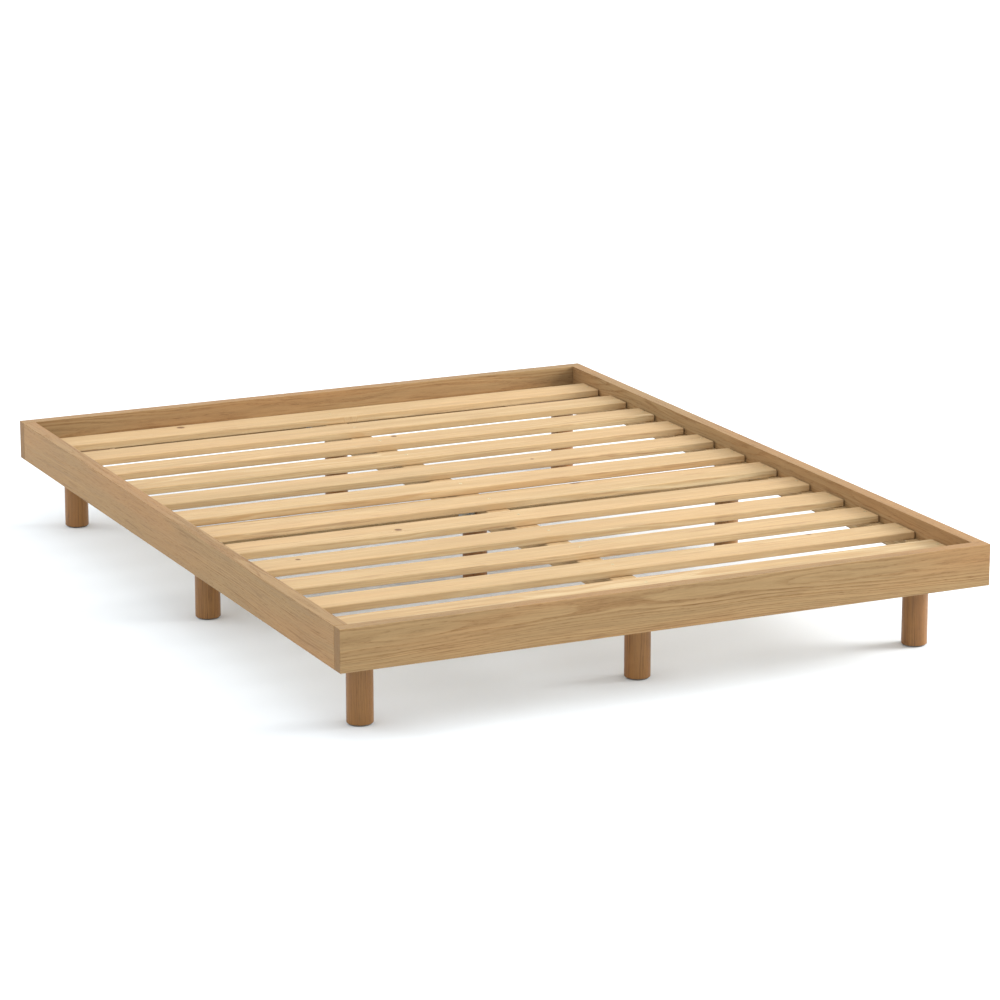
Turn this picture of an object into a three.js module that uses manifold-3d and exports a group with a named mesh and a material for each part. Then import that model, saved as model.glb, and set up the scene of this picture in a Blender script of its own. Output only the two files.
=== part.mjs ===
// A low platform bed frame of natural oak for one queen-size mattress: a plain rectangular rim of four
// rails, a slatted deck sunk inside it, and nine short round legs set in from the rim.
// Millimetres. +X runs across the bed to its right, +Y from the foot to the head, and +Z up.
// The origin is on the floor, under the middle of the rim.
import * as THREE from "three";
import { RoundedBoxGeometry } from "three/addons/geometries/RoundedBoxGeometry.js";
import { mergeVertices } from "three/addons/utils/BufferGeometryUtils.js";
import Module from "manifold-3d";

const wasm = await Module();
wasm.setup();

// ---- Driving dimensions ----

// The gap that pieces keep where they touch, and the play of a bolt in its hole.
const fitGap = 0.3;

// The mattress that the rim goes round, and the space left all round it.
const mattressWidth = 1530;
const mattressLength = 2030;
const mattressClearance = 8;

// The four rails of the rim, and the clear height under them.
const railHeight = 98;
const railThickness = 32;
const railClearance = 165;
const railEdgeRadius = 1.5;

// The legs. An inset runs from the rim's outer face to the leg's centre.
const legDiameter = 60;
const legEdgeRadius = 1.5;
const sideLegInset = 107;
const footLegInset = 146;
const headLegInset = 120;
const centreLegInset = 190;

// The felt pad under each leg.
const padThickness = 3;
const padMargin = 3;

// The hanger bolt in the top of each leg: a pointed wood screw below, a machine thread above.
const boltDiameter = 8;
const boltInLeg = 40;
const boltPoint = 8;
const boltChamfer = 1;
const boltHoleSpare = 2; // a blind hole is this much deeper than the bolt goes

// The ledgers that run round inside the rim under the slats.
const ledgerWidth = 30;
const ledgerHeight = 30;
const ledgerEdgeRadius = 1;
const ledgerBracketGap = 4; // between the ledgers' ends and the corner brackets

// The plywood gusset in each corner, under the ledgers and over the leg.
const gussetThickness = 15;
const gussetMargin = 18; // plywood left between the leg and the slanting edge
const gussetBlunt = 25; // width of the blunt ends

// The centre rail under the middle of the slats, and the steel hangers for its ends.
const centreRailWidth = 60;
const centreRailEdgeRadius = 2;
const hangerThickness = 2.5;
const hangerSeatLength = 40;
const hangerEarWidth = 22;
const hangerHoleDiameter = 5;
const hangerHoleShares = [1 / 4, 3 / 4]; // of an ear's height, up from its bottom
const hangerRecess = 0.2; // from the rails' bottom edges up to the hangers' undersides

// The cross bearers at mid length, which carry the middle legs.
const bearerWidth = 70;
const bearerBevel = 1;

// The steel bracket in each corner.
const bracketArm = 60;
const bracketThickness = 3;
const bracketTopGap = 2; // how far it stops below the ledgers' tops
const bracketHoleDiameter = 6.6;
const bracketHoleSpacing = 24;
const bracketHoleInset = 14; // from the arm's end to its outer hole

// The slats.
const slatCount = 12;
const slatWidth = 90;
const slatThickness = 18;
const slatEndClearance = 3;
const slatEdgeRadius = 3;

// How finely round pieces are divided.
const legSides = 48;
const padSides = 32;
const boltSides = 16;
const roundingSteps = 2;
const boardEdgeSteps = 1;

// ---- Sizes and levels that follow from them ----

const innerX = mattressWidth / 2 + mattressClearance;
const innerY = mattressLength / 2 + mattressClearance;
const outerX = innerX + railThickness;
const outerY = innerY + railThickness;

const railBottom = railClearance;
const hangerBottom = railBottom + hangerRecess;
const carrierBottom = hangerBottom + hangerThickness + fitGap; // underside of what the legs are bolted to
const gussetTop = carrierBottom + gussetThickness;
const ledgerBottom = gussetTop + fitGap;
const ledgerTop = ledgerBottom + ledgerHeight;
const slatBottom = ledgerTop + fitGap;
const carrierHeight = ledgerTop - carrierBottom;

const legRadius = legDiameter / 2;
const legBottom = padThickness + fitGap;
const legTop = carrierBottom - fitGap;
const legX = outerX - sideLegInset;
const footLegY = -(outerY - footLegInset);
const headLegY = outerY - headLegInset;
const centreLegY = outerY - centreLegInset;

const boltRadius = boltDiameter / 2;
const boltHoleRadius = boltRadius + fitGap;
const boltInCarrier = gussetThickness - boltChamfer;

const ledgerSetback = bracketArm + ledgerBracketGap; // from the rim's inner corner to the ledgers' ends
const ledgerInnerY = innerY - fitGap - ledgerWidth; // the end ledgers' faces towards the bed's middle

// ---- Materials ----

function wood(color, roughness) {
  return new THREE.MeshStandardMaterial({ color, roughness, metalness: 0 });
}

const railOak = wood(0xc09a66, 0.55);
const legOak = wood(0xa9783f, 0.55);
const slatPine = wood(0xdcc095, 0.7);
const plywood = wood(0xd2b184, 0.7);
const zincSteel = new THREE.MeshStandardMaterial({ color: 0xa9adb2, roughness: 0.35, metalness: 1 });
const feltGrey = new THREE.MeshStandardMaterial({ color: 0x5d564d, roughness: 1, metalness: 0 });

// ---- Solids ----

// A three.js geometry as a manifold-3d solid.
function solidOf(geometry) {
  const bare = geometry.clone();
  bare.deleteAttribute("normal");
  bare.deleteAttribute("uv");
  const merged = mergeVertices(bare);
  return new wasm.Manifold(
    new wasm.Mesh({
      numProp: 3,
      vertProperties: merged.getAttribute("position").array,
      triVerts: new Uint32Array(merged.index.array),
    }),
  );
}

// A manifold-3d solid as a three.js geometry.
function geometryOf(solid) {
  const { vertProperties, triVerts } = solid.getMesh();
  const geometry = new THREE.BufferGeometry();
  geometry.setAttribute("position", new THREE.BufferAttribute(vertProperties, 3));
  geometry.setIndex(new THREE.BufferAttribute(triVerts, 1));
  geometry.computeVertexNormals();
  return geometry;
}

function without(geometry, cutters) {
  return geometryOf(cutters.reduce((solid, cutter) => solid.subtract(solidOf(cutter)), solidOf(geometry)));
}

function joined(geometries) {
  return geometryOf(geometries.map(solidOf).reduce((solid, other) => solid.add(other)));
}

// A rectangular block given by its lowest and highest corners.
function block(low, high) {
  const size = high.map((value, axis) => value - low[axis]);
  const middle = high.map((value, axis) => (value + low[axis]) / 2);
  return new THREE.BoxGeometry(...size).translate(...middle);
}

// A round bar from one point along X, Y or Z, used to drill a hole.
function drill(diameter, start, axis, length) {
  const bar = new THREE.CylinderGeometry(diameter / 2, diameter / 2, length, boltSides);
  bar.translate(0, length / 2, 0);
  if (axis === "x") bar.rotateZ(-Math.PI / 2);
  if (axis === "z") bar.rotateX(Math.PI / 2);
  return bar.translate(...start);
}

// A turned piece. Its outline holds [radius, height] points, from the axis at its bottom to the axis
// at its top.
function turned(outline, sides) {
  const points = outline.map(([radius, height]) => new THREE.Vector2(radius, height));
  return new THREE.LatheGeometry(points, sides).rotateX(Math.PI / 2);
}

// The quarter round between a turned piece's flat bottom, at height 0, and its side.
function roundedFoot(sideRadius, edgeRadius) {
  return Array.from({ length: roundingSteps + 1 }, (_, step) => {
    const angle = ((Math.PI / 2) * step) / roundingSteps;
    return [sideRadius - edgeRadius * (1 - Math.sin(angle)), edgeRadius * (1 - Math.cos(angle))];
  });
}

function outlineShape(points) {
  return new THREE.Shape(points.map(([x, y]) => new THREE.Vector2(x, y)));
}

// A named piece at its place.
function piece(name, geometry, material, place = [0, 0, 0]) {
  const mesh = new THREE.Mesh(geometry, material);
  mesh.name = name;
  mesh.position.set(...place);
  return mesh;
}

// A board with eased edges, its centre at the given place.
function board(name, size, place, edgeRadius, material) {
  return piece(name, new RoundedBoxGeometry(...size, boardEdgeSteps, edgeRadius), material, place);
}

// ---- The rim ----

// The end rails run the full width, over the ends of the side rails.
function rim() {
  const group = new THREE.Group();
  const middleZ = railBottom + railHeight / 2;
  const endSize = [2 * outerX, railThickness, railHeight];
  const sideSize = [railThickness, 2 * (innerY - fitGap), railHeight];
  const endY = innerY + railThickness / 2;
  const sideX = innerX + railThickness / 2;
  group.add(
    board("foot_rail", endSize, [0, -endY, middleZ], railEdgeRadius, railOak),
    board("head_rail", endSize, [0, endY, middleZ], railEdgeRadius, railOak),
    board("left_side_rail", sideSize, [-sideX, 0, middleZ], railEdgeRadius, railOak),
    board("right_side_rail", sideSize, [sideX, 0, middleZ], railEdgeRadius, railOak),
  );
  return group;
}

// The ledgers stop short of the corners, where the brackets are.
function ledgers() {
  const group = new THREE.Group();
  const middleZ = ledgerBottom + ledgerHeight / 2;
  const sideSize = [ledgerWidth, 2 * (innerY - ledgerSetback), ledgerHeight];
  const endSize = [2 * (innerX - ledgerSetback), ledgerWidth, ledgerHeight];
  const sideX = innerX - fitGap - ledgerWidth / 2;
  const endY = innerY - fitGap - ledgerWidth / 2;
  group.add(
    board("left_ledger", sideSize, [-sideX, 0, middleZ], ledgerEdgeRadius, slatPine),
    board("right_ledger", sideSize, [sideX, 0, middleZ], ledgerEdgeRadius, slatPine),
    board("foot_ledger", endSize, [0, -endY, middleZ], ledgerEdgeRadius, slatPine),
    board("head_ledger", endSize, [0, endY, middleZ], ledgerEdgeRadius, slatPine),
  );
  return group;
}

// ---- The corners ----

const corners = [
  { name: "foot_left", sideX: -1, sideY: -1, legY: footLegY },
  { name: "foot_right", sideX: 1, sideY: -1, legY: footLegY },
  { name: "head_left", sideX: -1, sideY: 1, legY: headLegY },
  { name: "head_right", sideX: 1, sideY: 1, legY: headLegY },
];

// Turns an outline drawn for the +X +Y corner over to another corner, keeping it anticlockwise.
function mirroredOutline(points, { sideX, sideY }) {
  const moved = points.map(([x, y]) => [x * sideX, y * sideY]);
  return sideX * sideY > 0 ? moved : moved.reverse();
}

// A five-sided plywood plate: a right-angled triangle with its two sharp ends cut off square to the rails.
function gusset(corner) {
  const cornerX = innerX - fitGap;
  const cornerY = innerY - fitGap;
  const inX = cornerX - legX;
  const inY = cornerY - Math.abs(corner.legY);
  const slantSum = inX + inY + Math.SQRT2 * (legRadius + gussetMargin);
  const reach = slantSum - gussetBlunt;
  const outline = [
    [cornerX, cornerY],
    [cornerX - reach, cornerY],
    [cornerX - reach, cornerY - gussetBlunt],
    [cornerX - gussetBlunt, cornerY - reach],
    [cornerX, cornerY - reach],
  ];
  const shape = outlineShape(mirroredOutline(outline, corner));
  const hole = new THREE.Path();
  hole.absarc(corner.sideX * legX, corner.legY, boltHoleRadius, 0, 2 * Math.PI, true);
  shape.holes.push(hole);
  const plate = new THREE.ExtrudeGeometry(shape, {
    depth: gussetThickness,
    bevelEnabled: false,
    curveSegments: boltSides,
  });
  return piece(corner.name + "_gusset", plate, plywood, [0, 0, carrierBottom]);
}

// A steel angle inside the corner, with two holes in each arm.
function bracket(corner) {
  const cornerX = innerX - fitGap;
  const cornerY = innerY - fitGap;
  const height = ledgerHeight - bracketTopGap;
  const outline = [
    [cornerX, cornerY],
    [cornerX - bracketArm, cornerY],
    [cornerX - bracketArm, cornerY - bracketThickness],
    [cornerX - bracketThickness, cornerY - bracketThickness],
    [cornerX - bracketThickness, cornerY - bracketArm],
    [cornerX, cornerY - bracketArm],
  ];
  const angle = new THREE.ExtrudeGeometry(outlineShape(mirroredOutline(outline, corner)), {
    depth: height,
    bevelEnabled: false,
  });
  const outerHole = bracketArm - bracketHoleInset;
  const drillLength = 3 * bracketThickness; // through the sheet, with one thickness to spare on each side
  const drills = [outerHole - bracketHoleSpacing, outerHole].flatMap((place) => {
    const middleX = corner.sideX * (cornerX - bracketThickness / 2);
    const middleY = corner.sideY * (cornerY - bracketThickness / 2);
    const alongX = corner.sideX * (cornerX - place);
    const alongY = corner.sideY * (cornerY - place);
    return [
      drill(bracketHoleDiameter, [middleX - drillLength / 2, alongY, height / 2], "x", drillLength),
      drill(bracketHoleDiameter, [alongX, middleY - drillLength / 2, height / 2], "y", drillLength),
    ];
  });
  return piece(corner.name + "_bracket", without(angle, drills), zincSteel, [0, 0, ledgerBottom]);
}

function cornerPieces() {
  const group = new THREE.Group();
  for (const corner of corners) group.add(gusset(corner), bracket(corner));
  return group;
}

// ---- The centre rail and the cross bearers ----

function boltSocket(x, y) {
  const depth = boltInCarrier + boltHoleSpare;
  return drill(2 * boltHoleRadius, [x, y, carrierBottom - fitGap], "z", depth + fitGap);
}

function centreRail() {
  const length = 2 * (ledgerInnerY - fitGap);
  const size = [centreRailWidth, length, carrierHeight];
  const bar = new RoundedBoxGeometry(...size, boardEdgeSteps, centreRailEdgeRadius);
  bar.translate(0, 0, carrierBottom + carrierHeight / 2);
  const sockets = [-centreLegY, 0, centreLegY].map((y) => boltSocket(0, y));
  return piece("centre_rail", without(bar, sockets), slatPine);
}

// A steel stirrup on an end ledger: a seat and two cheeks round the centre rail's end, and two ears.
function hanger(name, side) {
  const cheekInner = centreRailWidth / 2 + fitGap;
  const cheekOuter = cheekInner + hangerThickness;
  const earOuter = cheekOuter + hangerEarWidth;
  const back = ledgerInnerY - fitGap;
  const front = back - hangerSeatLength;
  const earFront = back - hangerThickness;
  const top = ledgerTop - fitGap;
  const seatTop = hangerBottom + hangerThickness;
  const parts = [block([-cheekOuter, front, hangerBottom], [cheekOuter, back, seatTop])];
  for (const way of [-1, 1]) {
    const [cheekLow, cheekHigh] = [way * cheekInner, way * cheekOuter].sort((a, b) => a - b);
    const [earLow, earHigh] = [way * cheekInner, way * earOuter].sort((a, b) => a - b);
    parts.push(block([cheekLow, front, hangerBottom], [cheekHigh, back, top]));
    parts.push(block([earLow, earFront, ledgerBottom], [earHigh, back, top]));
  }
  const holeX = cheekOuter + hangerEarWidth / 2;
  const drillLength = 3 * hangerThickness; // through the sheet, with one thickness to spare on each side
  const holes = [-1, 1].flatMap((way) =>
    hangerHoleShares.map((share) => {
      const z = ledgerBottom + share * (top - ledgerBottom);
      return drill(hangerHoleDiameter, [way * holeX, earFront - hangerThickness, z], "y", drillLength);
    }),
  );
  const stirrup = without(joined(parts), holes);
  if (side < 0) stirrup.rotateZ(Math.PI);
  return piece(name, stirrup, zincSteel);
}

// A bar from the centre rail to one side rail. Its outer end is cut down to a lip that goes under the ledger.
function bearer(name, side) {
  const inner = centreRailWidth / 2 + fitGap;
  const outer = innerX - fitGap;
  const shoulder = outer - ledgerWidth - fitGap;
  const outline = [
    [inner, 0],
    [outer, 0],
    [outer, gussetThickness],
    [shoulder, gussetThickness],
    [shoulder, carrierHeight],
    [inner, carrierHeight],
  ];
  const bar = new THREE.ExtrudeGeometry(outlineShape(outline), {
    depth: bearerWidth - 2 * bearerBevel,
    bevelSize: bearerBevel,
    bevelOffset: -bearerBevel,
    bevelThickness: bearerBevel,
    bevelSegments: boardEdgeSteps,
  });
  bar.rotateX(Math.PI / 2);
  bar.translate(0, bearerWidth / 2 - bearerBevel, carrierBottom);
  const drilled = without(bar, [boltSocket(legX, 0)]);
  if (side < 0) drilled.rotateZ(Math.PI);
  return piece(name, drilled, slatPine);
}

function deckSupports() {
  const group = new THREE.Group();
  group.add(
    centreRail(),
    hanger("foot_hanger", -1),
    hanger("head_hanger", 1),
    bearer("left_bearer", -1),
    bearer("right_bearer", 1),
  );
  return group;
}

// ---- The slats ----

// Equal gaps, the first and last of them against the end rails.
function slats() {
  const group = new THREE.Group();
  const slatGap = (2 * innerY - slatCount * slatWidth) / (slatCount + 1);
  const size = [2 * (innerX - slatEndClearance), slatWidth, slatThickness];
  const z = slatBottom + slatThickness / 2;
  for (let index = 0; index < slatCount; index += 1) {
    const y = -innerY + slatGap + slatWidth / 2 + index * (slatWidth + slatGap);
    const name = "slat_" + String(index + 1).padStart(2, "0");
    group.add(board(name, size, [0, y, z], slatEdgeRadius, slatPine));
  }
  return group;
}

// ---- The legs ----

// A plain round post with an eased bottom edge and a blind hole down from its top for the bolt.
function legGeometry() {
  const height = legTop - legBottom;
  const holeBottom = height - boltInLeg - boltHoleSpare;
  return turned(
    [
      [0, 0],
      ...roundedFoot(legRadius, legEdgeRadius),
      [legRadius, height],
      [boltHoleRadius, height],
      [boltHoleRadius, holeBottom],
      [0, holeBottom],
    ],
    legSides,
  );
}

// The bolt's outline starts at its point, with the leg's top at height 0.
function boltGeometry() {
  return turned(
    [
      [0, -boltInLeg],
      [boltRadius, boltPoint - boltInLeg],
      [boltRadius, boltInCarrier - boltChamfer],
      [boltRadius - boltChamfer, boltInCarrier],
      [0, boltInCarrier],
    ],
    boltSides,
  );
}

function padGeometry() {
  const radius = legRadius - padMargin;
  return turned(
    [
      [0, 0],
      [radius, 0],
      [radius, padThickness],
      [0, padThickness],
    ],
    padSides,
  );
}

const legPlaces = [
  { name: "foot_left", x: -legX, y: footLegY },
  { name: "foot_centre", x: 0, y: -centreLegY },
  { name: "foot_right", x: legX, y: footLegY },
  { name: "middle_left", x: -legX, y: 0 },
  { name: "middle_centre", x: 0, y: 0 },
  { name: "middle_right", x: legX, y: 0 },
  { name: "head_left", x: -legX, y: headLegY },
  { name: "head_centre", x: 0, y: centreLegY },
  { name: "head_right", x: legX, y: headLegY },
];

function legs() {
  const group = new THREE.Group();
  for (const { name, x, y } of legPlaces) {
    const leg = new THREE.Group();
    leg.position.set(x, y, 0);
    leg.add(
      piece(name + "_leg", legGeometry(), legOak, [0, 0, legBottom]),
      piece(name + "_leg_bolt", boltGeometry(), zincSteel, [0, 0, carrierBottom]),
      piece(name + "_pad", padGeometry(), feltGrey),
    );
    group.add(leg);
  }
  return group;
}

const bedFrame = new THREE.Group();
bedFrame.add(rim(), ledgers(), cornerPieces(), deckSupports(), slats(), legs());

export default bedFrame;
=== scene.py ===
import math
import random
from dataclasses import dataclass

import bmesh
import bpy
from mathutils import Matrix, Vector


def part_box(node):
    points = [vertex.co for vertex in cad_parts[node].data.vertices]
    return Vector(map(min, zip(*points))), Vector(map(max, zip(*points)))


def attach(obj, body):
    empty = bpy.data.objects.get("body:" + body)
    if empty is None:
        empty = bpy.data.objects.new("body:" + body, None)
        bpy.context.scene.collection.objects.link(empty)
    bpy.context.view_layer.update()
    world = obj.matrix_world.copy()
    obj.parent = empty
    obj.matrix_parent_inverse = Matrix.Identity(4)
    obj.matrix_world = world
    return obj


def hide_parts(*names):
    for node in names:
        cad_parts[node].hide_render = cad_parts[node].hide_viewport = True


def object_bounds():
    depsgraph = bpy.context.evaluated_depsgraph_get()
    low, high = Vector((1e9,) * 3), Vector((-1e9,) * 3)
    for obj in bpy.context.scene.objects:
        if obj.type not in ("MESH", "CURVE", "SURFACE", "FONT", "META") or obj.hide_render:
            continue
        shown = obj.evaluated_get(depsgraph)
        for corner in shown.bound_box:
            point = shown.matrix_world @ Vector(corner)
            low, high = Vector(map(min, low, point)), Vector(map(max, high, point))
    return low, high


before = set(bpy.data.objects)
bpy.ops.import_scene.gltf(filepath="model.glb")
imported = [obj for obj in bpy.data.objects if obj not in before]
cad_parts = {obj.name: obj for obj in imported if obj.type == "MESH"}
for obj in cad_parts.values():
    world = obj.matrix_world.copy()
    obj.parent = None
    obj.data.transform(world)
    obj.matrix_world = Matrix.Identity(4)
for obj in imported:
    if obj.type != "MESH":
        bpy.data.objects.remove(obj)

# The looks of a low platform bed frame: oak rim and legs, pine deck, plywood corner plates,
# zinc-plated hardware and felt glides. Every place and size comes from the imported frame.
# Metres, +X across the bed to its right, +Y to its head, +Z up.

cad_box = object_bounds()

MM = 0.001
X, Y, Z = 0, 1, 2
BODY = "root"
ENDS = {"foot": -1, "head": 1}
SIDES = {"left": -1, "right": 1}
CORNERS = [end + "_" + side for end in ENDS for side in SIDES]
LEGS = [row + "_" + column for row in ("foot", "middle", "head") for column in ("left", "centre", "right")]
SLATS = sorted(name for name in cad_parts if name.startswith("slat_"))

# The random seed of the first piece of each kind. The next ones count on from it.
RIM_SEED, LEDGER_SEED, CARRIER_SEED, SLAT_SEED, PLYWOOD_SEED, LEG_SEED = 11, 31, 41, 51, 71, 81


# ---- Colours ----

def srgb(red, green, blue):
    """A display colour, each channel 0 to 255, as the linear colour that shaders take."""
    def linear(value):
        share = value / 255
        return share / 12.92 if share <= 0.04045 else ((share + 0.055) / 1.055) ** 2.4
    return (linear(red), linear(green), linear(blue), 1.0)


@dataclass(frozen=True)
class Timber:
    """One kind of wood: its colours, the width of a growth ring, how far its boards lie from the pith,
    how strongly its pores show, and its gloss."""
    late: tuple
    early: tuple
    streak: tuple
    warm: tuple
    worn: tuple
    ring: float
    pith: float
    pores: float
    roughness: float
    specular: float
    knotty: bool = False


OAK = Timber(
    late=srgb(152, 125, 88), early=srgb(132, 101, 66), streak=srgb(97, 64, 38),
    warm=srgb(155, 119, 80), worn=srgb(167, 139, 102),
    ring=3.4 * MM, pith=70 * MM, pores=0.5, roughness=0.5, specular=0.08,
)
# The legs' oak: darker and browner than the rim's, partly painted shade that stands in for the shadow falling
# on the legs under the bed.
SHADED_LEG_OAK = Timber(
    late=srgb(140, 99, 50), early=srgb(110, 71, 31), streak=srgb(73, 43, 19),
    warm=srgb(133, 86, 40), worn=srgb(154, 113, 66),
    ring=3.0 * MM, pith=45 * MM, pores=0.6, roughness=0.4, specular=0.4,
)
PINE = Timber(
    late=srgb(176, 147, 106), early=srgb(194, 172, 134), streak=srgb(120, 80, 48),
    warm=srgb(184, 153, 112), worn=srgb(198, 178, 144),
    ring=4.6 * MM, pith=90 * MM, pores=0.12, roughness=0.6, specular=0.16, knotty=True,
)


# ---- Shader graphs ----

class Graph:
    """One material's node tree, with a short call for each kind of node used here."""

    def __init__(self, name):
        self.material = bpy.data.materials.new(name)
        self.material.use_nodes = True
        self.tree = self.material.node_tree
        self.surface = self.tree.nodes["Principled BSDF"]

    def node(self, kind, **settings):
        made = self.tree.nodes.new(kind)
        for key, value in settings.items():
            setattr(made, key, value)
        return made

    def feed(self, socket, value):
        if isinstance(value, bpy.types.NodeSocket):
            self.tree.links.new(value, socket)
        else:
            socket.default_value = value

    def coordinates(self, kind="Object"):
        return self.node("ShaderNodeTexCoord").outputs[kind]

    def split(self, vector):
        made = self.node("ShaderNodeSeparateXYZ")
        self.feed(made.inputs[0], vector)
        return list(made.outputs)

    def join(self, *parts):
        made = self.node("ShaderNodeCombineXYZ")
        for socket, part in zip(made.inputs, parts):
            self.feed(socket, part)
        return made.outputs[0]

    def math(self, operation, *values):
        made = self.node("ShaderNodeMath", operation=operation)
        for socket, value in zip(made.inputs, values):
            self.feed(socket, value)
        return made.outputs[0]

    def product(self, first, *others):
        for other in others:
            first = self.math("MULTIPLY", first, other)
        return first

    def vector(self, operation, first, second, output=0):
        made = self.node("ShaderNodeVectorMath", operation=operation)
        self.feed(made.inputs[0], first)
        self.feed(made.inputs[1], second)
        return made.outputs[output]

    def length(self, vector):
        return self.vector("LENGTH", vector, (0, 0, 0), output=1)

    def noise(self, place, cycles, detail=3.0, roughness=0.5, output=0):
        """Noise with its own number of cycles a metre along each axis. Output 1 is a noise vector."""
        made = self.node("ShaderNodeTexNoise")
        self.feed(made.inputs["Vector"], self.vector("MULTIPLY", place, cycles))
        made.inputs["Scale"].default_value = 1.0
        made.inputs["Detail"].default_value = detail
        made.inputs["Roughness"].default_value = roughness
        return made.outputs[output]

    def shift(self, place, cycles, reach, detail=2.0):
        """A place moved about by a noise, by up to half of reach along each axis."""
        push = self.vector("SUBTRACT", self.noise(place, cycles, detail, output=1), (0.5, 0.5, 0.5))
        return self.vector("ADD", place, self.vector("MULTIPLY", push, reach))

    def ramp(self, value, low, high, start=0.0, end=1.0):
        """A smooth step from start, at low, to end, at high."""
        made = self.node("ShaderNodeMapRange", interpolation_type="SMOOTHSTEP")
        for socket, number in zip(made.inputs, (value, low, high, start, end)):
            self.feed(socket, number)
        return made.outputs[0]

    def blend(self, share, first, second):
        """A mix of two colours, by the node's own colour sockets: inputs 6 and 7, output 2."""
        made = self.node("ShaderNodeMix", data_type="RGBA")
        factor, start, end = (made.inputs[index] for index in (0, 6, 7))
        self.feed(factor, share)
        self.feed(start, first)
        self.feed(end, second)
        return made.outputs[2]

    def tone(self, colour, shade):
        """A colour made darker, by a shade under 1, or lighter."""
        made = self.node("ShaderNodeVectorMath", operation="SCALE")
        self.feed(made.inputs[0], colour)
        self.feed(made.inputs["Scale"], shade)
        return made.outputs[0]

    def bump(self, height, distance, strength):
        made = self.node("ShaderNodeBump")
        made.inputs["Strength"].default_value = strength
        made.inputs["Distance"].default_value = distance
        self.feed(made.inputs["Height"], height)
        self.set("Normal", made.outputs[0])

    def set(self, name, value):
        self.feed(self.surface.inputs[name], value)

    def finish(self, colour, roughness):
        self.set("Base Color", colour)
        self.set("Roughness", roughness)
        return self.material


# ---- Wood ----

def log_place(graph, box, grain, timber, draw):
    """A point's place in the tree that its board was sawn from: x along the grain, y and z from the pith."""
    nearest, farthest = 0.8, 1.4
    log_start, log_end = 3, 30
    parts = graph.split(graph.coordinates())
    middle = (box[0] + box[1]) / 2
    turn = draw.uniform(0, 2 * math.pi)
    reach = timber.pith * draw.uniform(nearest, farthest)
    pith = [reach * math.cos(turn), reach * math.sin(turn)]
    across = [axis for axis in (X, Y, Z) if axis != grain]
    far_along = draw.uniform(log_start, log_end)
    return graph.join(
        graph.math("ADD", parts[grain], far_along),
        *(graph.math("SUBTRACT", parts[axis], middle[axis] + off) for axis, off in zip(across, pith)),
    )


def knots(graph, box, grain, draw):
    """Knots through a board's thickness, in a few of its cells: 1 at a knot's middle, 0 outside it."""
    spacing = 150 * MM
    largest = 34 * MM
    knotty_share = 0.1
    parts = graph.split(graph.coordinates())
    across = max((axis for axis in (X, Y, Z) if axis != grain), key=lambda axis: box[1][axis] - box[0][axis])
    made = graph.node("ShaderNodeTexVoronoi", voronoi_dimensions="2D")
    offset = draw.uniform(5, 50)
    plan = graph.join(graph.math("ADD", parts[grain], offset), graph.math("ADD", parts[across], offset), 0.0)
    graph.feed(made.inputs["Vector"], plan)
    made.inputs["Scale"].default_value = 1 / spacing
    chance = graph.split(made.outputs["Color"])[0]
    size = graph.ramp(chance, 0.0, knotty_share, largest / spacing, 0.0)
    near = graph.math("SUBTRACT", 1.0, graph.math("DIVIDE", made.outputs["Distance"], size))
    return graph.product(graph.ramp(near, 0.0, 1.0), graph.math("LESS_THAN", chance, knotty_share))


def growth_rings(graph, bent, timber, swell):
    """1 in the open early wood of each growth ring, fading to 0 in its late wood."""
    unevenness = 1.6
    radius = graph.length(graph.vector("MULTIPLY", bent, (0, 1, 1)))
    turns = graph.math("ADD", graph.math("DIVIDE", radius, timber.ring), swell)
    uneven = graph.noise(graph.join(0.0, turns, 0.0), (1, 0.7, 1), detail=1)
    phase = graph.math("FRACT", graph.math("ADD", turns, graph.product(uneven, unevenness)))
    rise = graph.ramp(phase, 0.0, 0.15)
    fall = graph.ramp(phase, 0.2, 0.7, 1.0, 0.0)
    return graph.product(rise, fall)


def rubbed_edges(graph, box, width=2.2 * MM):
    """1 on the parts of a board's edges that have been handled, 0 over its faces."""
    middle = (box[0] + box[1]) / 2
    place = graph.coordinates()
    offset = graph.split(graph.vector("SUBTRACT", place, tuple(middle)))
    shares = [
        graph.ramp(graph.math("ABSOLUTE", part), half - width, half)
        for part, half in zip(offset, (box[1] - box[0]) / 2)
    ]
    edge = graph.product(shares[X], shares[Y])
    for first, second in ((Y, Z), (X, Z)):
        edge = graph.math("MAXIMUM", edge, graph.product(shares[first], shares[second]))
    return graph.product(edge, graph.ramp(graph.noise(place, (60, 60, 60)), 0.4, 0.65))


def end_grain(graph, grain):
    """1 on a face sawn across the grain, 0 on one along it."""
    slope = graph.split(graph.coordinates("Normal"))[grain]
    return graph.ramp(graph.math("ABSOLUTE", slope), 0.6, 0.9)


def figure(graph, log, bent, rings, fibre, timber, depth):
    """The wood's own colour: rings, warm patches, light and dark fibres and bands, and dark streaks."""
    streak_share = 0.38
    band = graph.noise(bent, (1.6, 45, 45))
    dash = graph.ramp(graph.noise(bent, (7, 190, 190), detail=2), 0.52, 0.7)
    dash = graph.product(dash, graph.ramp(band, 0.38, 0.62, 0.25, 1.0))
    patch = graph.noise(log, (1.1, 9, 9), detail=2)

    ring_share = graph.product(rings, graph.ramp(band, 0.3, 0.7, 0.3, 0.9))
    colour = graph.blend(ring_share, timber.late, timber.early)
    colour = graph.blend(graph.ramp(patch, 0.42, 0.66, 0, 0.7), colour, timber.warm)
    colour = graph.tone(colour, graph.ramp(fibre, 0.2, 0.8, 0.9, 1.08))
    colour = graph.tone(colour, graph.ramp(band, 0.2, 0.8, 0.92 * depth, 1.07))
    return graph.blend(graph.product(dash, streak_share), colour, timber.streak)


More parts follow.
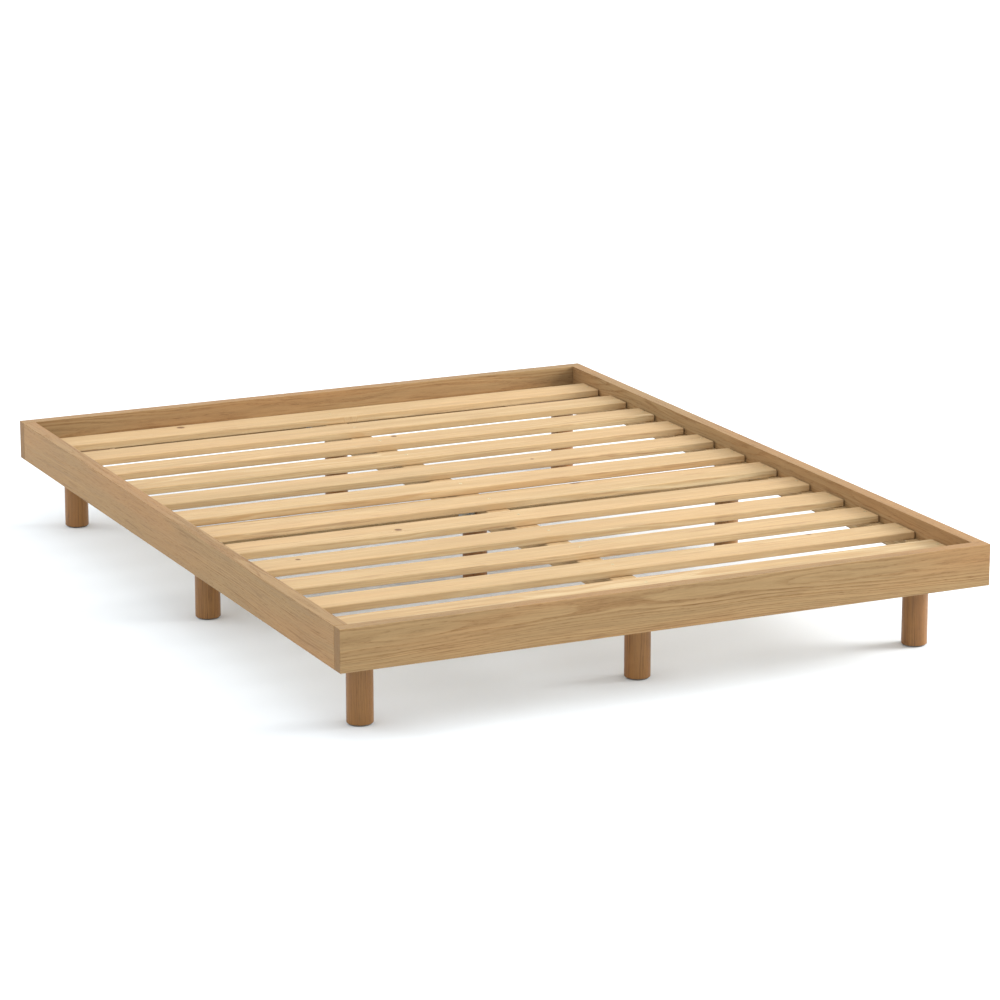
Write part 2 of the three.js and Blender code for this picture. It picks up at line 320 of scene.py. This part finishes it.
def wood_surface(graph, rings, fibre, pore, timber):
    """Sets the wood's bump and gloss, and returns its roughness. Early wood and pores lie low."""
    height = graph.math("SUBTRACT", graph.product(fibre, 0.35), graph.product(pore, 2 * timber.pores))
    height = graph.math("SUBTRACT", height, graph.product(rings, 0.3))
    graph.bump(height, 0.25 * MM, 0.6)
    graph.set("Specular IOR Level", timber.specular)
    roughness = graph.ramp(fibre, 0.2, 0.8, timber.roughness - 0.06, timber.roughness + 0.08)
    return graph.math("ADD", roughness, graph.product(pore, 0.2))


def wood(name, box, grain, timber, seed):
    """Oiled solid wood: growth rings, fibres, dark streaks, open pores, and slightly rubbed edges."""
    slow_bend, fine_bend = 34 * MM, 3 * MM
    knot_swell = 7.0
    rubbed_share, end_share = 0.5, 0.4
    draw = random.Random(seed)
    graph = Graph(name)
    log = log_place(graph, box, grain, timber, draw)
    bent = graph.shift(log, (1.3, 5, 5), (0, slow_bend, slow_bend))
    bent = graph.shift(bent, (9, 70, 70), (0, fine_bend, fine_bend))
    knot = knots(graph, box, grain, draw) if timber.knotty else 0.0
    rings = growth_rings(graph, bent, timber, graph.product(knot, knot_swell))
    fibre = graph.noise(bent, (6, 330, 330), detail=4, roughness=0.6)
    pore = graph.ramp(graph.noise(bent, (40, 1500, 1500), detail=1), 0.56, 0.66)
    pore = graph.product(pore, graph.ramp(rings, 0, 1, 0.3, 1))

    colour = figure(graph, log, bent, rings, fibre, timber, draw.uniform(0.97, 1.03))
    colour = graph.blend(graph.product(pore, timber.pores), colour, timber.streak)
    if timber.knotty:
        colour = graph.blend(graph.ramp(knot, 0.5, 0.85, 0, 0.8), colour, timber.streak)
        colour = graph.tone(colour, graph.ramp(knot, 0.6, 0.8, 1.0, 0.72))
    colour = graph.blend(graph.product(rubbed_edges(graph, box), rubbed_share), colour, timber.worn)
    colour = graph.blend(graph.product(end_grain(graph, grain), end_share), colour, timber.streak)
    return graph.finish(colour, wood_surface(graph, rings, fibre, pore, timber))


def plywood(name, box, seed, plies=9):
    """Birch plywood: broad peeled figure on its faces, thin plies of turning grain on its edges."""
    pale, tan = srgb(204, 174, 132), srgb(188, 152, 106)
    end_on, glue, fleck = srgb(156, 118, 76), srgb(96, 68, 42), srgb(150, 112, 72)
    peeled_bands = 9.0
    draw = random.Random(seed)
    graph = Graph(name)
    place = graph.vector("ADD", graph.coordinates(), (draw.uniform(1, 9), draw.uniform(1, 9), 0))
    low, high = box[0].z, box[1].z
    layer = graph.math("MULTIPLY", graph.math("SUBTRACT", graph.split(place)[Z], low), plies / (high - low))
    odd = graph.math("FLOORED_MODULO", graph.math("FLOOR", layer), 2.0)
    lengthwise = graph.product(graph.noise(place, (8, 260, 260), detail=4), graph.math("SUBTRACT", 1, odd))
    crosswise = graph.product(graph.noise(place, (260, 8, 260), detail=4), odd)
    fibre = graph.math("ADD", lengthwise, crosswise)
    bands = graph.math("FRACT", graph.product(graph.noise(place, (5, 30, 30), detail=2), peeled_bands))
    from_glue = graph.math("PINGPONG", layer, 0.5)

    colour = graph.blend(graph.ramp(bands, 0.1, 0.9, 0, 0.5), pale, tan)
    colour = graph.blend(graph.product(odd, 0.45), colour, end_on)
    colour = graph.blend(graph.ramp(from_glue, 0.0, 0.07, 0.6, 0.0), colour, glue)
    colour = graph.blend(graph.ramp(fibre, 0.3, 0.7, 0.35, 0.0), colour, fleck)
    graph.bump(fibre, 0.15 * MM, 0.6)
    return graph.finish(colour, graph.ramp(fibre, 0.2, 0.8, 0.6, 0.75))


# ---- Metal and felt ----

def zinc(name, bright, tint, roughness):
    """Zinc plate: a faintly cloudy colour, fine dull speckle and a few long scratches."""
    graph = Graph(name)
    place = graph.coordinates()
    cloud = graph.noise(place, (90, 90, 90))
    speckle = graph.noise(place, (400, 400, 400), detail=4)
    scratch = graph.ramp(graph.noise(place, (2600, 90, 90), detail=2), 0.6, 0.75)
    gloss = graph.ramp(speckle, 0.3, 0.7, roughness - 0.06, roughness + 0.12)
    graph.bump(graph.math("ADD", speckle, scratch), 0.03 * MM, 0.5)
    graph.set("Metallic", 1.0)
    colour = graph.blend(graph.ramp(cloud, 0.35, 0.65), bright, tint)
    return graph.finish(colour, graph.math("ADD", gloss, graph.product(scratch, 0.12)))


def felt(name):
    """Dense grey-brown needled felt."""
    dark, light, matted = srgb(70, 64, 56), srgb(124, 116, 104), srgb(58, 52, 46)
    graph = Graph(name)
    place = graph.coordinates()
    fibres = graph.noise(place, (2200, 2200, 700), detail=5, roughness=0.7)
    clumps = graph.noise(place, (260, 260, 260))
    colour = graph.blend(graph.ramp(fibres, 0.3, 0.7), dark, light)
    colour = graph.blend(graph.ramp(clumps, 0.4, 0.7, 0, 0.35), colour, matted)
    graph.bump(graph.math("ADD", fibres, clumps), 0.4 * MM, 0.8)
    graph.set("Sheen Weight", 0.4)
    return graph.finish(colour, 0.95)


# ---- Pieces ----

def keep(node, material):
    """A CAD node that stays, with its own finish."""
    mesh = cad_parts[node].data
    mesh.materials.clear()
    mesh.materials.append(material)


def add_piece(name, shape, material, stands_for=()):
    """A finished bmesh as a smooth-shaded piece that rides on the frame."""
    bmesh.ops.recalc_face_normals(shape, faces=shape.faces[:])
    mesh = bpy.data.meshes.new(name)
    shape.to_mesh(mesh)
    shape.free()
    mesh.materials.append(material)
    mesh.shade_smooth()
    piece = bpy.data.objects.new(name, mesh)
    bpy.context.scene.collection.objects.link(piece)
    piece.modifiers.new("weighted_normals", "WEIGHTED_NORMAL")
    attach(piece, BODY)
    if stands_for:
        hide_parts(*stands_for)


def board(node, edge_radius, material, steps=4):
    """A planed board in a CAD node's place, its edges rounded over in fine steps."""
    low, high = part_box(node)
    shape = bmesh.new()
    bmesh.ops.create_cube(shape, size=1.0)
    bmesh.ops.scale(shape, vec=high - low, verts=shape.verts)
    bmesh.ops.translate(shape, vec=(low + high) / 2, verts=shape.verts)
    edges = shape.edges[:]
    bmesh.ops.bevel(shape, geom=edges, offset=edge_radius, segments=steps, profile=0.5, affect="EDGES")
    add_piece(node + "_board", shape, material, [node])


def ring_of(shape, radius, height, sides, wobble=None):
    """A ring of vertices about +Z, or one vertex if its radius is 0."""
    if radius == 0:
        return [shape.verts.new((0, 0, height))]
    made = []
    for index in range(sides):
        angle = 2 * math.pi * index / sides
        reach = radius + (wobble(angle) if wobble else 0)
        made.append(shape.verts.new((reach * math.cos(angle), reach * math.sin(angle), height)))
    return made


def skin(shape, first, second):
    """Faces between two rings, either of which may be a single vertex."""
    count = max(len(first), len(second))
    for index in range(count):
        after = (index + 1) % count
        corners = [first[index % len(first)], first[after % len(first)]]
        corners += [second[after % len(second)], second[index % len(second)]]
        shape.faces.new(list(dict.fromkeys(corners)))


def turned(shape, outline, sides, wobble=None):
    """A closed turned solid from (radius, height) points, which start and end on the axis or meet."""
    rings = [ring_of(shape, radius, height, sides, wobble) for radius, height in outline]
    for first, second in zip(rings, rings[1:]):
        skin(shape, first, second)
    if outline[0][0] > 0:
        skin(shape, rings[-1], rings[0])


def quarter(radius, middle_radius, middle_height, start, steps):
    """Points of a quarter circle that turns anticlockwise from its start, an angle in degrees."""
    angles = [math.radians(start + 90 * step / steps) for step in range(steps + 1)]
    return [(middle_radius + radius * math.cos(a), middle_height + radius * math.sin(a)) for a in angles]


def stand_on(shape, low, high):
    """Moves a shape made round +Z to stand in the middle of a box, on its floor."""
    bmesh.ops.translate(shape, vec=((low.x + high.x) / 2, (low.y + high.y) / 2, low.z), verts=shape.verts)


def leg(name, material, sides=96):
    """A round post with an eased foot, and the blind hole that its bolt stands in."""
    bolt_play, hole_spare = 0.3 * MM, 2 * MM
    foot_ease, top_ease = 1.5 * MM, 0.5 * MM
    node = name + "_leg"
    low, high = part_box(node)
    bolt_low, bolt_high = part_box(name + "_leg_bolt")
    radius = (high.x - low.x) / 2
    height = high.z - low.z
    hole = (bolt_high.x - bolt_low.x) / 2 + bolt_play
    hole_floor = bolt_low.z - low.z - hole_spare
    outline = [(0, 0), *quarter(foot_ease, radius - foot_ease, foot_ease, -90, 6)]
    outline += quarter(top_ease, radius - top_ease, height - top_ease, 0, 2)
    outline += [(hole, height), (hole, hole_floor), (0, hole_floor)]
    shape = bmesh.new()
    turned(shape, outline, sides)
    stand_on(shape, low, high)
    add_piece(node + "_post", shape, material, [node])


def glide(name, material, seed, sides=72):
    """A felt disc with soft, slightly uneven edges."""
    node = name + "_pad"
    low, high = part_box(node)
    draw = random.Random(seed)
    waves_round = (5, 11, 17)
    wave_height = 0.12 * MM
    waves = [(turns, draw.uniform(0, 2 * math.pi)) for turns in waves_round]

    def wobble(angle):
        return wave_height * (sum(math.sin(turns * angle + phase) for turns, phase in waves) - len(waves))

    radius = (high.x - low.x) / 2
    height = high.z - low.z
    soft = 0.8 * MM
    outline = [(0, 0), *quarter(soft, radius - soft, soft, -90, 3)]
    outline += [*quarter(soft, radius - soft, height - soft, 0, 3), (0, height)]
    shape = bmesh.new()
    turned(shape, outline, sides, wobble)
    stand_on(shape, low, high)
    add_piece(node + "_felt", shape, material, [node])


# ---- Screw and bolt heads ----

def cross(width, reach):
    """The anticlockwise outline of a cross recess."""
    near, far = width / 2, reach / 2
    arm = [(far, -near), (far, near), (near, near)]
    turns = [(1, 0), (0, 1), (-1, 0), (0, -1)]
    return [(c * x - s * y, s * x + c * y) for c, s in turns for x, y in arm]


def hexagon(across_flats):
    reach = across_flats / math.sqrt(3)
    angles = [math.radians(60 * index) for index in range(6)]
    return [(reach * math.cos(angle), reach * math.sin(angle)) for angle in angles]


@dataclass(frozen=True)
class Head:
    """A head's (radius, height) points from its flat top's rim down to the axis, and its recess."""
    outline: list
    recess: list
    depth: float


def millimetres(*points):
    return [(x * MM, y * MM) for x, y in points]


COUNTERSUNK = Head(
    millimetres((3.4, 0.45), (3.8, 0.25), (3.9, 0), (1.9, -2.2), (0, -2.6)),
    cross(1.1 * MM, 4.2 * MM), 1.6 * MM,
)
PAN = Head(
    millimetres((1.9, 2.2), (3.3, 1.7), (4.0, 0.8), (4.1, 0.1), (0, 0.1)),
    cross(0.9 * MM, 3.2 * MM), 1.2 * MM,
)
WASHERED_BUTTON = Head(
    millimetres(
        (3.2, 4.3), (4.4, 3.8), (5.1, 2.7), (5.25, 1.4),
        (7.0, 1.35), (7.2, 1.15), (7.2, 0.2), (7.0, 0.05), (0, 0.05),
    ),
    hexagon(4 * MM), 2.2 * MM,
)


def head_shape(head, sides=24):
    """One head that points along +Z, with its recess sunk in the flat top."""
    made = bmesh.new()
    rings = [ring_of(made, radius, height, sides) for radius, height in head.outline]
    for first, second in zip(rings, rings[1:]):
        skin(made, first, second)
    top = head.outline[0][1]
    taper = 0.8
    mouth = [made.verts.new((x, y, top)) for x, y in head.recess]
    floor = [made.verts.new((taper * x, taper * y, top - head.depth)) for x, y in head.recess]
    skin(made, mouth, floor)
    made.faces.new(floor)
    edges = [made.edges.get((loop[i - 1], loop[i])) for loop in (rings[0], mouth) for i in range(len(loop))]
    bmesh.ops.triangle_fill(made, edges=edges, use_beauty=True)
    mesh = bpy.data.meshes.new("head")
    made.to_mesh(mesh)
    made.free()
    return mesh


def facing(place, direction):
    """The move that takes something made round +Z to a place, pointing in a direction."""
    turn = Vector((0, 0, 1)).rotation_difference(Vector(direction))
    return Matrix.Translation(place) @ turn.to_matrix().to_4x4()


def add_copies(name, pattern, places, material):
    """One piece that holds copies of a mesh made round +Z, at (point, direction) places."""
    shape = bmesh.new()
    for place, direction in places:
        copy = pattern.copy()
        copy.transform(facing(place, direction))
        shape.from_mesh(copy)
        bpy.data.meshes.remove(copy)
    bpy.data.meshes.remove(pattern)
    add_piece(name, shape, material)


# ---- Where the heads go ----

QUARTERS = (0.25, 0.75)


def middle_of(node):
    low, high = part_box(node)
    return (low + high) / 2


def evenly(low, high, count, margin):
    step = (high - low - 2 * margin) / (count - 1)
    return [low + margin + index * step for index in range(count)]


def slat_screws():
    """Down through each slat, into both side ledgers and the centre rail."""
    for node in SLATS:
        for under in ("left_ledger", "centre_rail", "right_ledger"):
            yield Vector((middle_of(under).x, middle_of(node).y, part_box(node)[1].z)), (0, 0, 1)


def ledger_screws():
    """In a row along each ledger, outwards into its rail."""
    margin = 105 * MM
    side_count, end_count = 8, 6
    for names, along, across, count in ((SIDES, Y, X, side_count), (ENDS, X, Y, end_count)):
        for name, way in names.items():
            low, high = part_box(name + "_ledger")
            for reach in evenly(low[along], high[along], count, margin):
                point = (low + high) / 2
                point[along] = reach
                point[across] = low[across] if way > 0 else high[across]
                direction = Vector()
                direction[across] = -way
                yield point, direction


def gusset_screws():
    """Up through each gusset, into the two ledgers that rest on it."""
    from_ledger_ends = (0.2, 0.75)
    for end, end_way in ENDS.items():
        for side, side_way in SIDES.items():
            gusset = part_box(end + "_" + side + "_gusset")
            end_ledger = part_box(end + "_ledger")
            side_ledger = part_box(side + "_ledger")
            inner = Vector((gusset[side_way < 0].x, gusset[end_way < 0].y, gusset[0].z))
            outer = Vector((end_ledger[side_way > 0].x, side_ledger[end_way > 0].y, gusset[0].z))
            for share in from_ledger_ends:
                point = outer.lerp(inner, share)
                yield Vector((point.x, middle_of(end + "_ledger").y, point.z)), (0, 0, -1)
                yield Vector((middle_of(side + "_ledger").x, point.y, point.z)), (0, 0, -1)


def bracket_bolts():
    """Two in each arm of each corner bracket, outwards into the rails."""
    sheet = 3 * MM
    from_arm_end = (14 * MM, 38 * MM)
    for end, end_way in ENDS.items():
        for side, side_way in SIDES.items():
            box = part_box(end + "_" + side + "_bracket")
            arm = box[1].x - box[0].x
            corner = Vector((box[side_way > 0].x, box[end_way > 0].y, (box[0].z + box[1].z) / 2))
            for inset in from_arm_end:
                reach = arm - inset
                yield corner - Vector((side_way * reach, end_way * sheet, 0)), (0, -end_way, 0)
                yield corner - Vector((side_way * sheet, end_way * reach, 0)), (-side_way, 0, 0)


def hanger_screws():
    """Two in each ear of each centre rail hanger."""
    sheet = 2.5 * MM
    half_ear = 11 * MM
    for end, way in ENDS.items():
        low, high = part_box(end + "_hanger")
        face = low.y + sheet if way < 0 else high.y - sheet
        ear_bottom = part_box(end + "_ledger")[0].z
        for x in (low.x + half_ear, high.x - half_ear):
            for share in QUARTERS:
                z = ear_bottom + share * (high.z - ear_bottom)
                yield Vector((x, face, z)), (0, -way, 0)


def bearer_screws():
    """Up through each bearer's lip, into the side ledger over it."""
    for side in SIDES:
        low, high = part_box(side + "_bearer")
        for share in QUARTERS:
            yield Vector((middle_of(side + "_ledger").x, low.y + share * (high.y - low.y), low.z)), (0, 0, -1)


# ---- The bearers' angle plates and the corner legs' nuts ----

ANGLE_ARM = 30 * MM
ANGLE_WIDTH = 18 * MM
ANGLE_SHEET = 2 * MM


def bearer_corners():
    """The four inner corners where a bearer meets the centre rail, each with its ways along X and Y."""
    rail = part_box("centre_rail")
    for side, side_way in SIDES.items():
        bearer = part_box(side + "_bearer")
        for y_way in (-1, 1):
            place = Vector((rail[side_way > 0].x, bearer[y_way > 0].y, middle_of(side + "_bearer").z))
            yield place, side_way, y_way


def add_angle_plates(material):
    """Small folded plates that hold the bearers to the centre rail."""
    shape = bmesh.new()
    bend = 3 * MM
    outline = [(0, ANGLE_ARM), *quarter(bend, bend, bend, 180, 4), (ANGLE_ARM, 0), (ANGLE_ARM, ANGLE_SHEET)]
    outline += [*quarter(bend - ANGLE_SHEET, bend, bend, 180, 4)[::-1], (ANGLE_SHEET, ANGLE_ARM)]
    for corner, x_way, y_way in bearer_corners():
        layers = [
            [shape.verts.new(corner + Vector((x_way * x, y_way * y, z))) for x, y in outline]
            for z in (-ANGLE_WIDTH / 2, ANGLE_WIDTH / 2)
        ]
        skin(shape, *layers)
        for layer in layers:
            shape.faces.new(layer)
    sharp_angle, edge_radius = 1.0, 0.3 * MM
    sharp = [edge for edge in shape.edges if edge.calc_face_angle(0) > sharp_angle]
    bmesh.ops.bevel(shape, geom=sharp, offset=edge_radius, segments=2, profile=0.5, affect="EDGES")
    add_piece("bearer_angle_plates", shape, material)


def angle_screws():
    """Two in each of the bearers' angle plates, a little beyond the middles of its arms."""
    reach = 0.62 * ANGLE_ARM
    for corner, x_way, y_way in bearer_corners():
        yield corner + Vector((x_way * reach, y_way * ANGLE_SHEET, 0)), (0, y_way, 0)
        yield corner + Vector((x_way * ANGLE_SHEET, y_way * reach, 0)), (x_way, 0, 0)


def tee_nut_flange():
    """The round flange of a nut that is driven into a gusset's top, round its bolt."""
    outer, inner, thickness, ease = 11 * MM, 4.3 * MM, 1.4 * MM, 0.4 * MM
    sides = 40
    outline = [
        (inner, 0), (outer, 0), (outer, thickness - ease), (outer - ease, thickness), (inner, thickness),
    ]
    shape = bmesh.new()
    turned(shape, outline, sides)
    mesh = bpy.data.meshes.new("flange")
    shape.to_mesh(mesh)
    shape.free()
    return mesh


def tee_nuts():
    for corner in CORNERS:
        bolt = middle_of(corner + "_leg_bolt")
        yield Vector((bolt.x, bolt.y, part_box(corner + "_gusset")[1].z)), (0, 0, 1)


# ---- Making them ----

def make_rim():
    edge = 1.5 * MM
    rails = {"foot_rail": X, "head_rail": X, "left_side_rail": Y, "right_side_rail": Y}
    for seed, (node, grain) in enumerate(rails.items(), RIM_SEED):
        board(node, edge, wood("oak_" + node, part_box(node), grain, OAK, seed))


def make_deck():
    ledger_edge, slat_edge = 1.0 * MM, 3.0 * MM
    ledgers = {"left_ledger": Y, "right_ledger": Y, "foot_ledger": X, "head_ledger": X}
    for seed, (node, grain) in enumerate(ledgers.items(), LEDGER_SEED):
        board(node, ledger_edge, wood("pine_" + node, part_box(node), grain, PINE, seed), steps=2)
    carriers = {"centre_rail": Y, "left_bearer": X, "right_bearer": X}
    for seed, (node, grain) in enumerate(carriers.items(), CARRIER_SEED):
        keep(node, wood("pine_" + node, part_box(node), grain, PINE, seed))
    for seed, node in enumerate(SLATS, SLAT_SEED):
        board(node, slat_edge, wood("pine_" + node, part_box(node), X, PINE, seed))


def make_corners(steel):
    for seed, corner in enumerate(CORNERS, PLYWOOD_SEED):
        keep(corner + "_gusset", plywood("plywood_" + corner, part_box(corner + "_gusset"), seed))
        keep(corner + "_bracket", steel)


def make_legs(steel):
    needled = felt("needled_felt")
    for seed, name in enumerate(LEGS, LEG_SEED):
        leg(name, wood("oak_leg_" + name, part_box(name + "_leg"), Z, SHADED_LEG_OAK, seed))
        glide(name, needled, seed)
        keep(name + "_leg_bolt", steel)


def make_hardware(steel):
    yellow = zinc("zinc_screws", srgb(196, 186, 150), srgb(190, 176, 132), 0.3)
    for screws in (slat_screws, ledger_screws, gusset_screws, bearer_screws):
        add_copies(screws.__name__, head_shape(COUNTERSUNK), screws(), yellow)
    for screws in (hanger_screws, angle_screws):
        add_copies(screws.__name__, head_shape(PAN), screws(), steel)
    add_copies("bracket_bolts", head_shape(WASHERED_BUTTON), bracket_bolts(), steel)
    add_copies("leg_tee_nuts", tee_nut_flange(), tee_nuts(), steel)
    add_angle_plates(steel)
    for end in ENDS:
        keep(end + "_hanger", steel)


# ---- The studio ----

def add_floor():
    """A wide pale floor, bright enough to show white where nothing shades it."""
    half_width, below_the_pads = 30, 0.2 * MM
    pale = (0.78, 0.825, 0.86, 1)
    shape = bmesh.new()
    bmesh.ops.create_grid(shape, x_segments=1, y_segments=1, size=half_width)
    mesh = bpy.data.meshes.new("floor")
    shape.to_mesh(mesh)
    shape.free()
    graph = Graph("studio_floor")
    graph.set("Specular IOR Level", 0.0)
    mesh.materials.append(graph.finish(pale, 1.0))
    floor = bpy.data.objects.new("floor", mesh)
    floor.location.z = -below_the_pads
    bpy.context.scene.collection.objects.link(floor)


def add_sky(overhead, level):
    """Soft white light from all round: one strength straight down, another along the floor."""
    world = bpy.data.worlds.new("studio")
    world.use_nodes = True
    nodes, links = world.node_tree.nodes, world.node_tree.links
    place = nodes.new("ShaderNodeTexCoord")
    parts = nodes.new("ShaderNodeSeparateXYZ")
    fade = nodes.new("ShaderNodeMapRange")
    links.new(place.outputs["Generated"], parts.inputs[0])
    links.new(parts.outputs["Z"], fade.inputs["Value"])
    fade.inputs["To Min"].default_value = level
    fade.inputs["To Max"].default_value = overhead
    links.new(fade.outputs[0], nodes["Background"].inputs["Strength"])
    nodes["Background"].inputs["Color"].default_value = (1, 1, 1, 1)
    bpy.context.scene.world = world


def add_soft_light(name, place, size, power):
    """A round lamp that faces the middle of the floor."""
    data = bpy.data.lights.new(name, "AREA")
    data.shape = "DISK"
    data.size = size
    data.energy = power
    lamp = bpy.data.objects.new(name, data)
    lamp.location = place
    lamp.rotation_euler = (-Vector(place)).to_track_quat("-Z", "Y").to_euler()
    bpy.context.scene.collection.objects.link(lamp)


def add_camera():
    """A long lens that looks over the foot left corner, a little right of the bed's middle and above it."""
    azimuth, elevation = math.radians(25.34), math.radians(14.51)
    aim_right, aim_up = 0.0422, 0.266
    lengths_away = 4.4707
    low, high = (Vector(corner) for corner in cad_box)
    size = high - low
    aim = (low + high) / 2 + Vector((aim_right * size.x, 0, aim_up * size.z))
    level = math.cos(elevation)
    back = Vector((-math.sin(azimuth) * level, -math.cos(azimuth) * level, math.sin(elevation)))
    data = bpy.data.cameras.new("camera")
    data.sensor_width = 36
    data.lens = 139.12
    data.clip_end = 100
    camera = bpy.data.objects.new("camera", data)
    camera.location = aim + lengths_away * size.y * back
    camera.rotation_euler = (-back).to_track_quat("-Z", "Y").to_euler()
    bpy.context.scene.collection.objects.link(camera)
    bpy.context.scene.camera = camera


add_camera()
add_floor()
add_sky(overhead=1.45, level=1.35)
add_soft_light("right_light", (6.5, -2.0, 2.4), size=3.5, power=650)
add_soft_light("left_light", (-3.4, 3.4, 1.8), size=2.5, power=45)
bpy.context.scene.view_settings.view_transform = "Standard"

bright_zinc = zinc("zinc_plate", srgb(176, 180, 186), srgb(190, 186, 170), 0.32)
make_rim()
make_deck()
make_corners(bright_zinc)
make_legs(bright_zinc)
make_hardware(bright_zinc)
